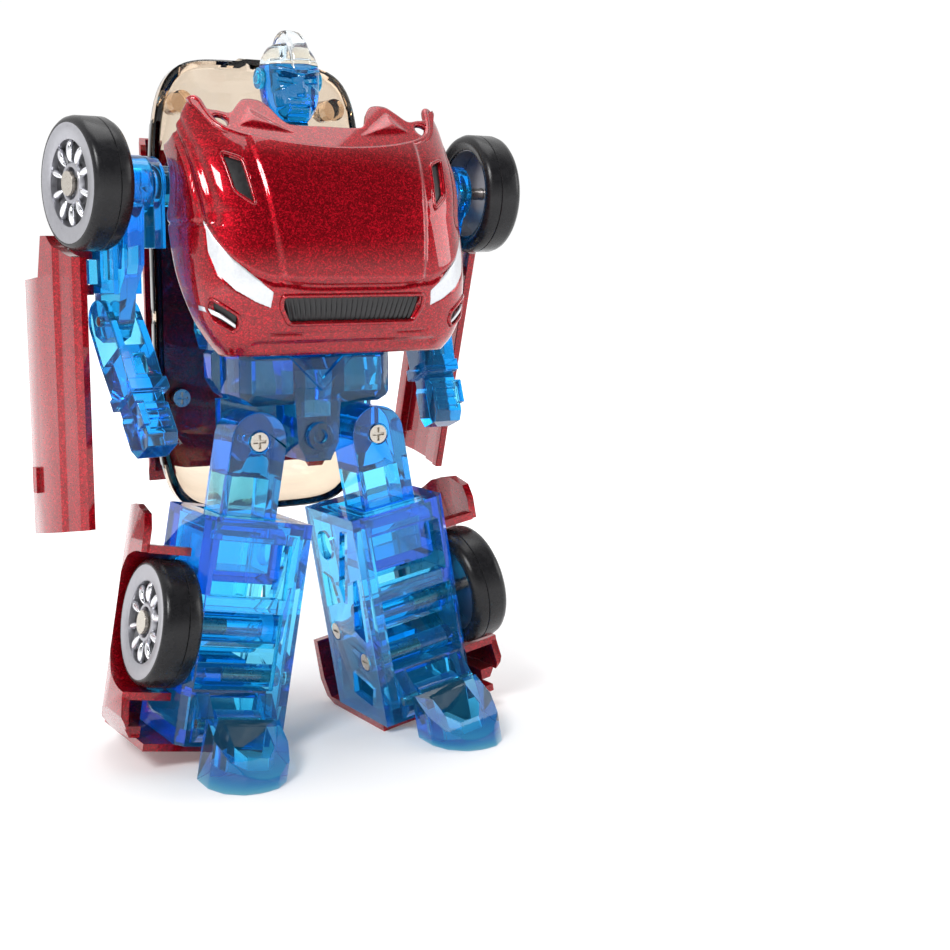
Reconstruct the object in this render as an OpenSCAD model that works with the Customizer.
// Transforming robot car, robot form, about 1:40 of a compact sport utility car.
// Millimetres. +Z up, the robot faces -Y, its left hand is on +X.
// The origin is on the ground, midway between the feet.

/* [Wheels] */
// Outer diameter of a tyre
wheel_d = 20.5; // [18:0.5:24]
// Width of a tyre
tyre_w = 6.6; // [5:0.1:8]
// Diameter of the rim under the tyre
rim_d = 15.2; // [13:0.1:18]
// Number of bright lugs round a rim
rim_lugs = 10; // [6:1:14]

/* [Shoulders] */
// Height of the shoulder axis above the ground
shoulder_z = 92.3; // [88:0.1:96]
// Depth of the shoulder axis behind the origin
shoulder_y = 5; // [3:0.1:7]
// Distance of a front wheel's outer face from the middle
wheel_reach = 39; // [38:0.1:41]
// How far the right arm is toed towards the front, in degrees
toe_right = 8; // [0:0.5:10]
// How far the left arm is toed towards the front, in degrees
toe_left = 2; // [0:0.5:10]

/* [Arms] */
// How far the right arm hangs back at rest, in degrees
back_right = 0; // [0:1:20]
// How far the left arm hangs back at rest, in degrees
back_left = 18; // [0:1:20]
// Height of the elbow pin
elbow_z = 71; // [69:0.5:73]
// Forward bend of the right elbow at rest, in degrees
bend_right = 33; // [0:1:40]
// Forward bend of the left elbow at rest, in degrees
bend_left = 38; // [0:1:40]
// Length of a door panel
door_len = 46.5; // [44:0.5:48]

/* [Legs] */
// Height of the hip screws
hip_z = 53.5; // [52:0.5:55]
// Distance of a hip screw from the middle
hip_x = 10.5; // [10:0.1:12]
// Sideways splay of each leg at rest, in degrees
splay = 10; // [8:0.5:11]
// Length of a shin box along the leg
shin_len = 37; // [36:0.5:38]

/* [Cabin] */
// Half width of the cabin at its rim
cabin_hw = 19.6; // [19.4:0.1:20.2]
// Height of the cabin's lower end
cabin_z0 = 36.5; // [36:0.1:38]
// Height of the cabin's upper end
cabin_z1 = 114.4; // [113.5:0.1:115.5]

/* [Hidden] */
$fn = 32;
R = wheel_d / 2;
RR = rim_d / 2;
knee_top = -14.3;
shin_bot = knee_top - shin_len;
bump_bot = -(hip_z - 9.4 * sin(splay)) / cos(splay);
wy = -2.8;
wz = -32.6;
// Where the hip screw sits in the splayed leg, and so in the pelvis
hip_drop = 2;
pin_x = hip_x + hip_drop * sin(splay);
pin_z = hip_z - hip_drop * cos(splay);
neck_y = 6;
neck_z = 100.5;
// How far the crest sweeps round the neck pin, with clearance
crest_reach = 18.7;
arm_y = 15.8;
arm_z = 72;
arm_l = 17;
cab_y = arm_y + arm_l * cos(62);
cab_z = arm_z + arm_l * sin(62);
red = [0.55, 0.02, 0.06];
blue = [0.1, 0.45, 0.85, 0.7];
smoke = [0.25, 0.18, 0.12, 0.7];
steel = [0.7, 0.7, 0.72];
grey = [0.6, 0.6, 0.62];
black = [0.06, 0.06, 0.07];
clear = [0.85, 0.95, 1.0, 0.7];

// Helpers: a drawing in y and z, in x and z or in x and y, made into a solid
module ext_x(x0, x1) translate([x0, 0, 0]) rotate([90, 0, 90]) linear_extrude(x1 - x0) children();
module ext_y(y0, y1) translate([0, y1, 0]) rotate([90, 0, 0]) linear_extrude(y1 - y0) children();
module ext_z(z0, z1) translate([0, 0, z0]) linear_extrude(z1 - z0) children();
module cyl_x(x0, x1, r, y, z, f = 32)
  translate([x0, y, z]) rotate([0, 90, 0]) cylinder(h = x1 - x0, r = r, $fn = f);
module cyl_y(y0, y1, r, x, z, f = 32)
  translate([x, y1, z]) rotate([90, 0, 0]) cylinder(h = y1 - y0, r = r, $fn = f);
module cyl_z(z0, z1, r, x, y, f = 32) translate([x, y, z0]) cylinder(h = z1 - z0, r = r, $fn = f);
module box(x0, x1, y0, y1, z0, z1)
  translate([x0, y0, z0]) cube([x1 - x0, y1 - y0, z1 - z0]);
module both() {
  children();
  mirror([1, 0, 0]) children();
}
module side(s) if (s > 0) children(); else mirror([1, 0, 0]) children();
function toe(s) = s > 0 ? toe_left : toe_right;
function hang(s) = s > 0 ? back_left : back_right;
function bend(s) = s > 0 ? bend_left : bend_right;

// Frame of one arm: toed about the shoulder at 22 mm from the middle
module arm_frame(s)
  side(s) translate([22, shoulder_y, 0]) rotate([0, 0, -toe(s)]) translate([-22, -shoulder_y, 0])
    children();
// The same frame with the arm hanging back about the shoulder axis
module hang_frame(s)
  arm_frame(s) translate([0, shoulder_y, shoulder_z]) rotate([hang(s), 0, 0])
    translate([0, -shoulder_y, -shoulder_z]) children();
// Frame of one leg: origin on the hip, z along the leg
module leg_frame(s) side(s) translate([hip_x, 0, hip_z]) rotate([0, -splay, 0]) children();

// ---- Torso ----
function torso_screw_at() = [[12, 84], [12, 70], [-12, 84], [-12, 70]];
module torso_bores() {
  both() cyl_x(3.5, 20, 3.25, shoulder_y, shoulder_z);
  cyl_x(-7, 7, 0.8, neck_y, neck_z, 24);
}
module torso_front() color(blue) difference() {
  union() {
    ext_x(-15, 15) polygon([[-8, 70], [-5, 66], [shoulder_y, 66], [shoulder_y, 97], [-5, 97], [-8, 94]]);
    both() intersection() {
      cyl_x(14, 18.2, 4.5, shoulder_y, shoulder_z);
      box(14, 18.2, 0, shoulder_y, 80, 100);
    }
    both() intersection() {
      ext_x(3.3, 6) polygon([[2.5, 96], [9.5, 96], [8.2, 100.5], [6, 102.7], [3.8, 100.5]]);
      box(3, 7, 0, shoulder_y, 96, 104);
    }
  }
  torso_bores();
  for (x = [-1, 1]) {
    box(x > 0 ? 1.5 : -8.6, x > 0 ? 8.6 : -1.5, -6.4, shoulder_y + 1, 68, 87);
    cyl_y(-5, shoulder_y + 1, 0.8, 12 * x, 84, 20);
    cyl_y(-3, shoulder_y + 1, 0.8, 12 * x, 70, 20);
  }
}
module torso_back() color(blue) difference() {
  union() {
    ext_x(-15, 15) polygon([[shoulder_y, 66], [11, 66], [13, 69], [13, 92], [9, 97], [shoulder_y, 97]]);
    both() intersection() {
      cyl_x(14, 18.2, 4.5, shoulder_y, shoulder_z);
      box(14, 18.2, shoulder_y, 10, 80, 100);
    }
    both() difference() {
      ext_x(3.3, 6) polygon([[2.5, 96], [8.4, 96], [8.2, 100.5], [6, 102.7], [3.8, 100.5]]);
      box(3, 7, 0, shoulder_y, 95, 104);
    }
    both() ext_x(4.1, 6.6) polygon([[12, 76], [12, 68], [15, 69.2], [arm_y + 2, 70], [arm_y + 2.7, 72],
      [arm_y + 2, 74], [15, 74.8]]);
  }
  torso_bores();
  box(-3.3, 3.3, 7.6, 20, 95.2, 99);
  both() box(3, 6.8, 8.4, 20, 95.2, 99);
  cyl_x(-8, 8, 0.8, arm_y, arm_z, 24);
  box(-4.1, 4.1, 12.2, 20, 66.5, 77.5);
  for (x = [-1, 1]) {
    box(x > 0 ? 1.5 : -8.6, x > 0 ? 8.6 : -1.5, shoulder_y - 1, 10.8, 68, 87);
    for (z = [84, 70]) {
      cyl_y(shoulder_y - 1, 14, 0.95, 12 * x, z, 20);
      cyl_y(11.6, 14, 1.8, 12 * x, z, 24);
    }
  }
}
module screw_y(x, z, y0, y1, d) {
  cyl_y(min(y0, y1), max(y0, y1), 0.8, x, z, 20);
  difference() {
    cyl_y(min(y0, y0 + 1.2 * d), max(y0, y0 + 1.2 * d), 1.6, x, z, 24);
    box(x - 1.1, x + 1.1, y0 + (d > 0 ? 0.7 : -1.3), y0 + (d > 0 ? 1.3 : -0.7), z - 0.2, z + 0.2);
    box(x - 0.2, x + 0.2, y0 + (d > 0 ? 0.7 : -1.3), y0 + (d > 0 ? 1.3 : -0.7), z - 1.1, z + 1.1);
  }
}
module torso_screws() color(steel) {
  for (p = torso_screw_at()) screw_y(p[0], p[1], 11.6, p[1] > 80 ? -5 : -3, 1);
}
module pelvis() color(blue) difference() {
  union() {
    // belt with chamfered front corners and rounded lower edges
    intersection() {
      ext_z(57.2, 66) polygon([[-11.6, -4.6], [11.6, -4.6], [13.6, -2.6], [14, 0], [14, 4.4], [15.4, 4.8],
        [15.4, 8], [-15.4, 8], [-15.4, 4.8], [-14, 4.4], [-14, 0], [-13.6, -2.6]]);
      ext_y(-9, 9) polygon([[-11.4, 57.2], [11.4, 57.2], [14, 59], [15.4, 61.4], [15.4, 65.4], [14.8, 66],
        [-14.8, 66], [-15.4, 65.4], [-15.4, 61.4], [-14, 59]]);
      ext_x(-17, 17) polygon([[-4.6, 60], [-3, 57.2], [8, 57.2], [8, 66], [-3.6, 66], [-4.6, 65]]);
    }
    ext_y(4.6, 7) polygon([[-14, 58], [-14, 50.4], [-11.6, 47.8], [11.6, 47.8], [14, 50.4], [14, 58]]);
    ext_y(-3.4, 5) polygon([[-4.2, 58], [-3.7, 50.6], [-2.2, 47.6], [2.2, 47.6], [3.7, 50.6], [4.2, 58]]);
    cyl_y(-4.4, 0, 2.3, 0, 51.8);
    for (s = [-1, 1]) ext_y(-5.4, -4) polygon([[0, 59.4], [s * 5.6, 65], [s * 3.6, 65], [0, 61.4]]);
  }
  box(-2.4, 2.4, -3, 3, 55, 62.8);
  both() box(4.6, 11.6, -3.2, 3.6, 59.2, 64.6);
  both() cyl_y(-6, 9, 0.8, pin_x, pin_z, 20);
  cyl_y(-6, -3.6, 1.1, 0, 51.8, 24);
}

// ---- Head ----
module head() color(blue) difference() {
  union() {
    intersection() {
      ext_y(1, 10.4) polygon([[-2.6, 103.2], [2.6, 103.2], [4.2, 106], [4.8, 109.4], [4.8, 113.2],
        [3.6, 115.6], [-3.6, 115.6], [-4.8, 113.2], [-4.8, 109.4], [-4.2, 106]]);
      ext_x(-6, 6) polygon([[2.4, 103.2], [8.8, 103.2], [10.2, 107], [10.2, 112.6], [8.6, 115.6],
        [3.8, 115.6], [2.2, 113.4], [1.5, 109], [1.5, 105]]);
    }
    both() cyl_x(4.4, 5.5, 1.7, 6.4, 110.2);
    cyl_x(-2.9, 2.9, 2.2, neck_y, neck_z);
    box(-2.9, 2.9, neck_y - 2.2, neck_y + 2.2, neck_z, 103.8);
  }
  cyl_x(-4, 4, 0.85, neck_y, neck_z, 24);
  both() box(0.9, 3.6, 0, 2.2, 109.2, 110.6);
  box(-1.2, 1.2, 2.8, 12, 111.6, 117);
}
module head_crest() color(clear) union() {
  ext_x(-1.2, 1.2) polygon([[2.8, 111.6], [10, 111.6], [10, 113], [8.8, 116.2], [8, 117.6],
    [3.8, 117.6], [2.8, 116]]);
  intersection() {
    ext_y(2.4, 9.4) polygon([[-3.4, 115.6], [3.4, 115.6], [2.4, 116.8], [-2.4, 116.8]]);
    ext_x(-5, 5) polygon([[3.8, 115.6], [8.4, 115.6], [7.8, 116.8], [4.4, 116.8]]);
  }
}
module neck_pin() color(steel) cyl_x(-5.9, 5.9, 0.8, neck_y, neck_z, 24);

// ---- Hood ----
module hood_outer() intersection() {
  ext_x(-24, 24) polygon([[0.6, 104], [0.6, 92], [-2.4, 80], [-7.4, 71], [-8.8, 66.4], [-13, 66],
    [-15.4, 68.4], [-16.4, 72], [-17.8, 77.5], [-17.2, 84], [-15.4, 91], [-12.5, 97], [-9, 101.4],
    [-5.6, 105.6], [-3, 105.6]]);
  ext_z(60, 110) polygon([[-24, 1], [24, 1], [24, -7.6], [22.4, -12.4], [18, -16], [12, -18], [-12, -18],
    [-18, -16], [-22.4, -12.4], [-24, -7.6]]);
  ext_y(-20, 2) polygon([[-19, 66], [19, 66], [22.4, 71], [24, 80], [24, 98], [22.4, 105.6], [20.9, 105.6],
    [18.6, 100.6], [13, 98], [-13, 98], [-18.6, 100.6], [-20.9, 105.6], [-22.4, 105.6], [-24, 98],
    [-24, 80], [-22.4, 71]]);
}
module hood_inner() intersection() {
  ext_x(-22.5, 22.5) polygon([[2, 107], [2, 90], [-0.4, 80], [-5.8, 71.6], [-7.6, 67.8], [-12.4, 67.5],
    [-14, 69], [-14.9, 72.4], [-16.2, 77.6], [-15.6, 83.6], [-13.9, 90.4], [-11.2, 95.9], [-7.8, 100.4],
    [-4.4, 104.4], [-3.6, 107]]);
  ext_z(60, 110) polygon([[-22.5, 3], [22.5, 3], [22.5, -7.2], [21, -11.4], [17.2, -14.5], [11.6, -16.4],
    [-11.6, -16.4], [-17.2, -14.5], [-21, -11.4], [-22.5, -7.2]]);
  ext_y(-20, 4) polygon([[-18, 67.5], [18, 67.5], [21, 71.6], [22.5, 80.2], [22.5, 98], [21, 107],
    [-21, 107], [-22.5, 98], [-22.5, 80.2], [-21, 71.6]]);
}
module hood_shell() color(red) difference() {
  union() {
    difference() {
      hood_outer();
      hood_inner();
    }
    intersection() {
      ext_x(-22.6, 22.6) polygon([[-12.4, 96.2], [-11.2, 97.8], [-4.2, 105.6], [-2.8, 105.6], [-10.4, 95]]);
      ext_y(-14, 0) polygon([[-22.6, 94], [22.6, 94], [22.6, 101], [20, 104], [16, 103.4], [13.6, 105.6],
        [9.6, 105.6], [7, 101.6], [-7, 101.6], [-9.6, 105.6], [-13.6, 105.6], [-16, 103.4], [-20, 104],
        [-22.6, 101]]);
    }
    both() ext_x(15.5, 17.9) polygon([[-14.6, 84], [-14.2, 88], [-12.4, 93.4], [-9, 98], [0.6, 98.2],
      [shoulder_y + 3, 98.6], [shoulder_y + 6.2, 95], [shoulder_y + 6.2, 89.6], [shoulder_y + 3, 86],
      [-2, 84.5]]);
    both() ext_x(22, 22.7) polygon([[-9, 84], [-9, 94], [-1, 94], [-1, 84]]);
  }
  both() cyl_x(15, 18.4, 4.55, shoulder_y, shoulder_z);
  both() cyl_x(21, 25, 6.8, shoulder_y, shoulder_z, 48);
  both() cyl_y(-12, 0, 1.7, 18, 101.6, 24);
  both() ext_y(-19, -10) polygon([[16, 96], [17.2, 96], [18.4, 90.4], [17.4, 89.6]]);
}

// ---- Cabin ----
module glass_outer() intersection() {
  ext_z(cabin_z0, cabin_z1) polygon([[-cabin_hw, 18.2], [cabin_hw, 18.2], [cabin_hw, 20.6], [15.6, 32.4],
    [-15.6, 32.4], [-cabin_hw, 20.6]]);
  ext_x(-22, 22) polygon([[18.2, cabin_z0], [20.6, cabin_z0], [27, 40], [32.4, 48], [32.4, 99],
    [26, 109], [20, cabin_z1], [18.2, cabin_z1]]);
  ext_y(18, 33) polygon([[-14.5, cabin_z0], [14.5, cabin_z0], [18.4, 39.4], [cabin_hw, 44],
    [cabin_hw, 105], [17.8, 110.6], [11.5, 113.6], [0, cabin_z1], [-11.5, 113.6], [-17.8, 110.6],
    [-cabin_hw, 105], [-cabin_hw, 44], [-18.4, 39.4]]);
}
module glass_inner() intersection() {
  ext_z(cabin_z0 + 1.3, cabin_z1 - 1.2) polygon([[-18.4, 17], [18.4, 17], [18.4, 20.4], [14.7, 31.1],
    [-14.7, 31.1], [-18.4, 20.4]]);
  ext_x(-22, 22) polygon([[17, 37.8], [20.3, 37.8], [26.2, 41], [31.1, 48.4], [31.1, 98.6], [25.2, 107.9],
    [19.6, 113], [17, 113]]);
  ext_y(16, 33) polygon([[-14, 37.8], [14, 37.8], [17.5, 40.2], [18.4, 44.3], [18.4, 104.7], [16.8, 109.8],
    [11, 112.4], [0, 113.1], [-11, 112.4], [-16.8, 109.8], [-18.4, 104.7], [-18.4, 44.3],
    [-17.5, 40.2]]);
}
module cabin_glass() color(smoke) difference() {
  union() {
    difference() {
      glass_outer();
      glass_inner();
    }
    both() difference() {
      cyl_y(16, 26.4, 1.9, 14.6, 107.6, 24);
      cyl_y(15, 18.5, 0.9, 14.6, 107.6, 20);
    }
    both() ext_x(4.1, 6.6) polygon([[31.6, cab_z - 6], [31.6, cab_z + 6], [cab_y + 1.8, cab_z + 2.4],
      [cab_y - 1, cab_z + 2.6], [cab_y - 2.8, cab_z], [cab_y - 1, cab_z - 2.6], [cab_y + 1.8, cab_z - 2.4]]);
  }
  cyl_x(-8, 8, 0.8, cab_y, cab_z, 24);
  both() for (z = [56, 94]) cyl_y(30, 33, 0.9, 11, z, 20);
  cyl_x(-3, 3, crest_reach, neck_y, neck_z, 64);
}
module roof_shell() color(red) difference() {
  ext_x(-17.9, 17.9) polygon([[28.4, 44.6], [30.4, 41.4], [33.4, 43.4], [34.4, 49], [34.7, 72], [34.3, 95],
    [33.2, 98.8], [31.4, 101.8], [28.4, 100.4]]);
  both() ext_z(40, 104) polygon([[17.9, 28], [17.9, 29.2], [16.5, 32.8], [14.2, 35.8], [20, 36], [20, 28]]);
  glass_outer();
  box(-14.2, 14.2, 26, 32.4, 38, 104);
  both() for (z = [56, 94]) cyl_y(30, 33.6, 0.8, 11, z, 20);
}
module roof_screws() color(steel)
  both() for (z = [56, 94]) screw_y(11, z, 31.1, 33.6, -1);
module cabin_arm() color(blue) difference() {
  translate([0, arm_y, arm_z]) rotate([-28, 0, 0]) union() {
    cyl_x(-3.8, 3.8, 2.7, 0, 0);
    cyl_x(-3.8, 3.8, 2.7, 0, arm_l);
    box(-3.8, 3.8, -2.1, 2.1, 0, arm_l);
  }
  cyl_x(-5, 5, 0.85, arm_y, arm_z, 24);
  cyl_x(-5, 5, 0.85, cab_y, cab_z, 24);
}
module arm_pin_low() color(steel) cyl_x(-6.5, 6.5, 0.8, arm_y, arm_z, 24);
module arm_pin_high() color(steel) cyl_x(-6.5, 6.5, 0.8, cab_y, cab_z, 24);

// ---- One arm, drawn for the left side ----
module shoulder_bar(s) color(blue) {
  difference() {
    union() {
      side(s) cyl_x(11, 25.2, 3.2, shoulder_y, shoulder_z);
      arm_frame(s) {
        cyl_x(24.6, 26.6, 4.6, shoulder_y, shoulder_z);
        box(24.6, 26.6, shoulder_y - 4, shoulder_y + 4, 82.5, shoulder_z);
        cyl_x(26, 30.2, 2.5, shoulder_y, shoulder_z);
      }
    }
    side(s) cyl_x(10, 19, 1.6, shoulder_y, shoulder_z, 24);
  }
}
module upper_arm(s) color(blue) hang_frame(s) difference() {
  union() {
    cyl_x(26.9, 32, 4.7, shoulder_y, shoulder_z);
    ext_x(28.4, 31.2) polygon([[shoulder_y - 4.4, 91], [shoulder_y + 4.6, 91], [13, 86], [13, 73],
      [11.6, 68.6], [9, 67.6], [6.4, 68.6], [5, 71], [4, 76], [1.2, 80]]);
    box(27.2, 32, 4.6, 13, 75.4, 86);
    cyl_x(31, 32.9, 2, shoulder_y, shoulder_z);
    box(31, 33.6, 10.2, 13.2, 76.9, 80.7);
    cyl_z(76.9, 80.7, 1.5, 33.6, 11.7, 24);
  }
  cyl_x(26, 30.4, 2.55, shoulder_y, shoulder_z);
  cyl_x(30, 34, 1, shoulder_y, shoulder_z, 24);
  cyl_x(27, 33, 0.85, 9, elbow_z, 24);
  box(26.6, 29.4, 6.6, 10.4, 79.4, 83.2);
  box(29.8, 33, 6.6, 8, 77.6, 84.4);
  cyl_z(76, 82, 0.65, 33.6, 11.7, 20);
}
module bent(s) hang_frame(s) translate([0, 9, elbow_z]) rotate([-bend(s), 0, 0]) children();
module forearm(s) color(blue) bent(s) difference() {
  union() {
    cyl_x(26.8, 32.8, 3.4, 0, 0);
    ext_x(26.8, 32.8) polygon([[-3.4, 0], [3.4, 0], [3.6, -6], [3.2, -14.6], [-3.2, -14.6], [-3.8, -8]]);
    ext_x(27.2, 32.4) polygon([[-2.7, -14], [2.7, -14], [2.7, -16.2], [3.2, -16.8], [3.2, -21.6],
      [2, -23.6], [-2.2, -23.6], [-3.4, -22], [-3.4, -16.8], [-2.7, -16.2]]);
    box(26.3, 33, -3.9, 3.8, -14.4, -12.4);
    box(31.6, 32.9, -4.1, -1.4, -20.6, -16.4);
  }
  box(28.1, 31.5, -6, 6, -6.4, 6);
  cyl_x(26, 34, 0.8, 0, 0, 24);
  box(28.8, 30.8, -5, -2.4, -11.4, -8);
  for (z = [-18, -19.6, -21.2]) box(27.8, 31.6, -4, -2.9, z - 0.25, z + 0.25);
}
module elbow_pin(s) color(steel) bent(s) cyl_x(26.9, 32.7, 0.8, 0, 0, 24);
module door(s) color(red) hang_frame(s) difference() {
  union() {
    intersection() {
      ext_z(35, 38 + door_len) polygon([[36.2, 5.2], [37.4, 5], [38.2, 6.2], [38.5, 10], [39.2, 11],
        [39.3, 17], [38.8, 22.4], [38.2, 23.4], [35.6, 23.4], [35.6, 22], [37.1, 21.8], [37.6, 17],
        [37.5, 12], [36.9, 10.8], [36.6, 7], [36.2, 6.8]]);
      ext_x(34, 41) polygon([[4, 38.6], [24, 35.4], [24, 77.4], [16.4, 78], [15, 84.5], [4, 84.5]]);
    }
    box(35.6, 37.4, 20.6, 23.2, 39, 77);
    for (z = [76, 81.6]) box(33.6, 37.9, 10.2, 13.2, z - 0.8, z + 0.8);
    for (z = [76, 81.6]) cyl_z(z - 0.8, z + 0.8, 1.5, 33.6, 11.7, 24);
    box(38.4, 39.9, 18.6, 20, 43, 47.2);
  }
  cyl_x(34, 42, R + 0.9, shoulder_y, shoulder_z, 48);
  for (z = [76, 81.6]) cyl_z(z - 1, z + 1, 0.6, 33.6, 11.7, 20);
}
module door_pin(s) color(steel) hang_frame(s) cyl_z(75.3, 82.3, 0.6, 33.6, 11.7, 20);

// ---- Wheels, drawn along x with the outer face at x = 0 and the tyre behind it ----
module rim_at() difference() {
  translate([-5.9, 0, 0]) rotate([0, 90, 0]) rotate_extrude($fn = 64)
    polygon([[1.04, 0], [2.6, 0], [2.6, 3.4], [6, 3.4], [6, 0.4], [RR, 0.4], [RR, 5.7], [6.7, 5.7],
      [6.4, 5.2], [2.6, 5.2], [2.6, 5.7], [2.1, 5.7], [2.1, 5.2], [1.04, 5.2]]);
  for (i = [0:rim_lugs - 1])
    rotate([i * 360 / rim_lugs, 0, 0]) translate([-3.1, 0, 4.6]) rotate([0, 90, 0])
      cylinder(h = 5, r = 0.95, $fn = 16);
}
module tyre_at() translate([-tyre_w, 0, 0]) rotate([0, 90, 0]) rotate_extrude($fn = 64)
  polygon([[RR, 0.2], [9, 0], [9.9, 0.5], [R, 1.2], [R, 2.5], [R - 0.25, 2.6], [R - 0.25, 2.9], [R, 3],
    [R, 5.4], [9.9, 6.1], [9, tyre_w], [8.3, tyre_w - 0.2], [RR, tyre_w - 0.5]]);
module axle_at(len) {
  translate([-len, 0, 0]) rotate([0, 90, 0]) cylinder(h = len - 0.5, r = 1, $fn = 24);
  translate([-0.6, 0, 0]) rotate([0, 90, 0]) cylinder(h = 0.7, r = 1.9, $fn = 32);
}
module front_wheel(s) arm_frame(s) translate([wheel_reach, shoulder_y, shoulder_z]) children();
module rear_wheel(s) leg_frame(s) translate([15.3, wy, wz]) children();

// ---- One leg, drawn for the left side ----
module thigh(s) color(blue) leg_frame(s) difference() {
  union() {
    cyl_y(-4, 3.8, 4.8, 0, -hip_drop, 48);
    ext_y(-4, 3.8) polygon([[-4.8, -hip_drop], [4.8, -hip_drop], [4.8, -16], [-4.8, -16]]);
    ext_y(-5.2, 5.6) polygon([[-6.2, -16.8], [-5.2, -15.6], [5.2, -15.6], [6.2, -16.8], [6.2, -24.4],
      [5.2, -25], [-5.2, -25], [-6.2, -24.4]]);
  }
  cyl_y(-6, 6, 0.85, 0, -hip_drop, 24);
  cyl_y(-6, -2.8, 1.8, 0, -hip_drop, 24);
  box(-3.4, 3.4, -1.8, 7, -14.6, -8);
  box(-4.6, 4.6, -3.6, 7, -23.4, -17.4);
}
module hip_screw(s) color(steel) side(s) screw_y(pin_x, pin_z, -2.8, 6.8, -1);
module shin_frame(s) color(blue) leg_frame(s) difference() {
  union() {
    ext_z(shin_bot, knee_top) polygon([[-8.1, -8], [7.4, -8], [8.6, -6.6], [8.6, 9.2], [7.8, 10],
      [-8.1, 10]]);
    cyl_x(7.6, 9.2, 2.4, wy, wz);
    for (x = [-6.6, 4.4]) ext_x(x, x + 2.2) polygon([[-11.4, -48.4], [-11.4, -45.9], [-8, -42.4],
      [-7, -51], [-9.8, -50]]);
  }
  // opening at the top for the thigh, and the room for its block
  box(-5.5, 5.5, -4.9, 5.9, -16, -14);
  box(-6.5, 6.5, -5.5, 5.9, -29.6, -15.3);
  // lower room, open to the front
  box(-6.6, 7.1, -9, 8.5, -42, -29.4);
  box(-6.6, 6.6, -9, 0, -27, -18);
  box(-9, -6, -6.5, 8.5, -49, -16.4);
  box(-6.6, 6.6, -6, 8.5, -49, -43.6);
  box(-6.8, -4.2, 6.6, 8.8, -29, -17);
  cyl_x(-5, 9.8, 1, wy, wz, 24);
  box(-4.2, 4.2, -13, -6.8, -51.6, -42.4);
  cyl_x(-7, 7, 0.8, -9.4, -47.2, 24);
}
module shin_inside(s) color(blue) leg_frame(s) {
  difference() {
    union() {
      cyl_x(-8.1, 7.4, 2.6, wy, wz);
      for (z = [-2, 2]) box(-8.1, 7.4, wy - 0.4, wy + 0.4, wz + z - 1.4, wz + z + 1.4);
      for (p = [[6.2, -36.8], [-3.6, -40.4]]) cyl_x(-8.1, 7.4, 1.9, p[0], p[1], 24);
      ext_x(-4.6, 2.4) polygon([[0.4, -42.2], [6, -42.2], [7, -38.6], [-0.6, -38.6]]);
    }
    cyl_x(-5, 9.8, 1, wy, wz, 24);
    for (p = [[6.2, -36.8], [-3.6, -40.4]]) cyl_x(-9, 1, 0.8, p[0], p[1], 20);
  }
}
module shin_cover(s) color(blue) leg_frame(s) difference() {
  ext_x(-9.6, -8.1) polygon([[-8, knee_top], [10, knee_top], [10, shin_bot], [-8, shin_bot]]);
  for (p = [[6.2, -36.8], [-3.6, -40.4]]) {
    cyl_x(-10, -8, 0.9, p[0], p[1], 20);
    cyl_x(-10, -8.9, 1.7, p[0], p[1], 24);
  }
  cyl_x(-10, -8, 2.6, 4.6, -20.6);
  ext_x(-10, -8) polygon([[-4.4, -17], [-2.6, -17], [1.6, -27.6], [0.4, -30.6]]);
  ext_x(-10, -8) polygon([[7.6, -26], [8, -32.6], [3.2, -31], [4.6, -26.6]]);
  ext_x(-10, -8) polygon([[-6, -25], [-4.4, -25.6], [-1.6, -35], [-5.4, -36.4]]);
  ext_x(-10, -8) polygon([[-5, -45], [2, -43.4], [3, -47.6], [-3.6, -48.6]]);
}
module screw_in(x, y, z, l) {
  cyl_x(x, x + l, 0.8, y, z, 20);
  difference() {
    cyl_x(x - 0.7, x, 1.5, y, z, 24);
    box(x - 0.9, x - 0.35, y - 1, y + 1, z - 0.2, z + 0.2);
  }
}
module shin_screws(s) color(steel) leg_frame(s)
  for (p = [[6.2, -36.8], [-3.6, -40.4]]) screw_in(-8.9, p[0], p[1], 9.9);
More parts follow.
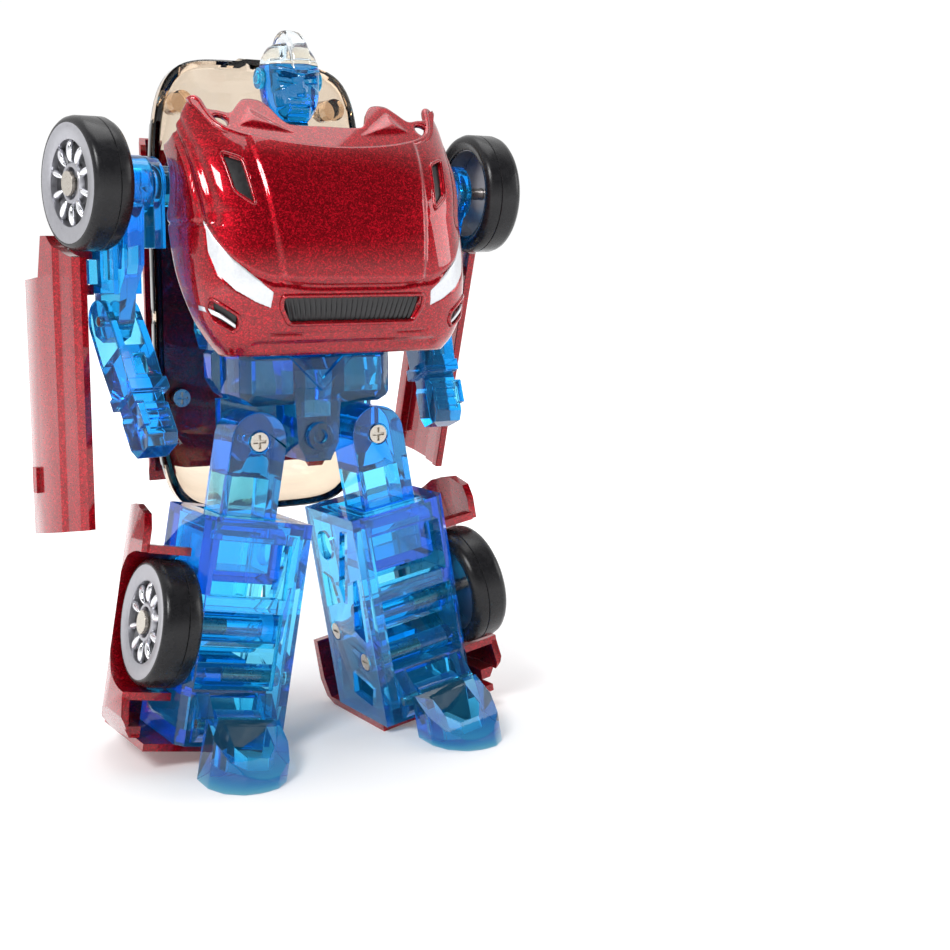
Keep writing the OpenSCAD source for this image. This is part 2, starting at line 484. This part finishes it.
module fender(s) color(red) leg_frame(s) difference() {
  intersection() {
    ext_z(-60, -10) polygon([[-9.4, -8], [17, -8], [17, 3], [16.4, 6.4], [15.2, 9.6], [12.9, 13.4],
      [10.4, 17.4], [-9.4, 17.4]]);
    union() {
      // side panel round the wheel, leaning in towards the back
      difference() {
        ext_x(8, 18) polygon([[-3, -17.6], [-2, -15.4], [2, -14.4], [7, -15.2], [12, -18.6], [15.4, -24],
          [17.4, -32], [17.4, -41], [16, -46.4], [12, -50.6], [6, bump_bot + 0.5],
          [-3, bump_bot + 1.4], [-4.6, -48.6], [-3.4, -44.6]]);
        ext_z(-60, -10) polygon([[-9.4, -9], [15.7, -9], [15.7, 2.8], [15, 6], [13.9, 8.8], [11.6, 12.6],
          [9.2, 16.2], [9.2, 19], [-9.4, 19]]);
      }
      // wheel well, reaching just past the wheel's middle at both ends
      intersection() {
        difference() {
          cyl_x(8.9, 15.9, R + 2.2, wy, wz, 64);
          cyl_x(8, 18, R + 0.9, wy, wz, 64);
        }
        ext_x(8.9, 15.9) polygon([[wy - 0.8, wz + 14], [wy + 14, wz + 14], [wy + 14, wz - 14],
          [wy - 0.8, wz - 14]]);
      }
      // rear panel and bumper
      ext_z(-46, -25) polygon([[8.9, 15.6], [12, 15.6], [12, 17.4], [8.9, 17.4]]);
      ext_x(-9.4, 13.4) polygon([[-6, bump_bot], [13, bump_bot], [15.8, bump_bot + 1], [17.4, bump_bot + 4],
        [17.4, -41], [15.9, -41], [15.6, bump_bot + 4.6], [14, bump_bot + 1.25], [-6, bump_bot + 1.25]]);
      ext_x(13, 16) polygon([[-3, bump_bot + 1.4], [6, bump_bot + 0.5], [11.6, -50.8], [11, -49.4],
        [-3, -49.4]]);
      box(8.9, 11, 9.9, 16.4, -30, -25);
    }
  }
  cyl_x(8, 18, R + 0.9, wy, wz, 64);
  ext_y(-20, 20) polygon([[18, -46], [18, -56], [11, -56], [14.4, bump_bot + 0.8], [16.2, -49]]);
}
module foot(s) color(blue) difference() {
  union() {
    leg_frame(s) cyl_x(-3.9, 3.9, 2.3, -9.4, -47.2);
    leg_frame(s) ext_x(-3.9, 3.9) polygon([[-9.4, -44.9], [-12.8, -46.4], [-12.8, -50.6], [-9.4, -49.5]]);
    // sole, tilted with the leg and cut flat where it stands
    intersection() {
      leg_frame(s) ext_z(-58, -44) polygon([[-6, -11.4], [-6.2, -17], [-5.2, -20.4], [-2.8, -22.7],
        [0, -23.4], [2.8, -22.8], [5.2, -20.6], [6.4, -17], [6.2, -11.4]]);
      leg_frame(s) ext_x(-8, 8) polygon([[-12, -45.9], [-13, -45.5], [-20.8, -50.2], [-23.2, -52.2],
        [-23.4, -60], [-12, -60]]);
      box(-40, 40, -30, 0, 0, 20);
    }
  }
  leg_frame(s) ext_z(-52.4, -40) polygon([[-3.4, -14.2], [3.4, -14.2], [3.4, -18], [1.8, -20], [-1.8, -20],
    [-3.4, -18]]);
  leg_frame(s) cyl_x(-8, 8, 0.85, -9.4, -47.2, 24);
}
module foot_pin(s) color(steel) leg_frame(s) cyl_x(-6.5, 6.5, 0.8, -9.4, -47.2, 24);

module shin_all(s) {
  shin_frame(s);
  shin_inside(s);
}
torso_front();
torso_back();
torso_screws();
pelvis();
head();
head_crest();
neck_pin();
hood_shell();
cabin_arm();
arm_pin_low();
arm_pin_high();
cabin_glass();
roof_shell();
roof_screws();
shoulder_bar(-1);  // shoulder_bar_r
upper_arm(-1);  // upper_arm_r
forearm(-1);  // forearm_r
elbow_pin(-1);  // elbow_pin_r
door(-1);  // door_r
door_pin(-1);  // door_pin_r
color(steel) front_wheel(-1) axle_at(8.5);  // front_axle_r
color(grey) front_wheel(-1) rim_at();  // front_rim_r
color(black) front_wheel(-1) tyre_at();  // front_tyre_r
shoulder_bar(1);  // shoulder_bar_l
upper_arm(1);  // upper_arm_l
forearm(1);  // forearm_l
elbow_pin(1);  // elbow_pin_l
door(1);  // door_l
door_pin(1);  // door_pin_l
color(steel) front_wheel(1) axle_at(8.5);  // front_axle_l
color(grey) front_wheel(1) rim_at();  // front_rim_l
color(black) front_wheel(1) tyre_at();  // front_tyre_l
thigh(-1);  // thigh_r
hip_screw(-1);  // hip_screw_r
shin_all(-1);  // shin_frame_r
shin_cover(-1);  // shin_cover_r
shin_screws(-1);  // shin_screws_r
fender(-1);  // fender_r
foot(-1);  // foot_r
foot_pin(-1);  // foot_pin_r
color(steel) rear_wheel(-1) axle_at(14);  // rear_axle_r
color(grey) rear_wheel(-1) rim_at();  // rear_rim_r
color(black) rear_wheel(-1) tyre_at();  // rear_tyre_r
thigh(1);  // thigh_l
hip_screw(1);  // hip_screw_l
shin_all(1);  // shin_frame_l
shin_cover(1);  // shin_cover_l
shin_screws(1);  // shin_screws_l
fender(1);  // fender_l
foot(1);  // foot_l
foot_pin(1);  // foot_pin_l
color(steel) rear_wheel(1) axle_at(14);  // rear_axle_l
color(grey) rear_wheel(1) rim_at();  // rear_rim_l
color(black) rear_wheel(1) tyre_at();  // rear_tyre_l
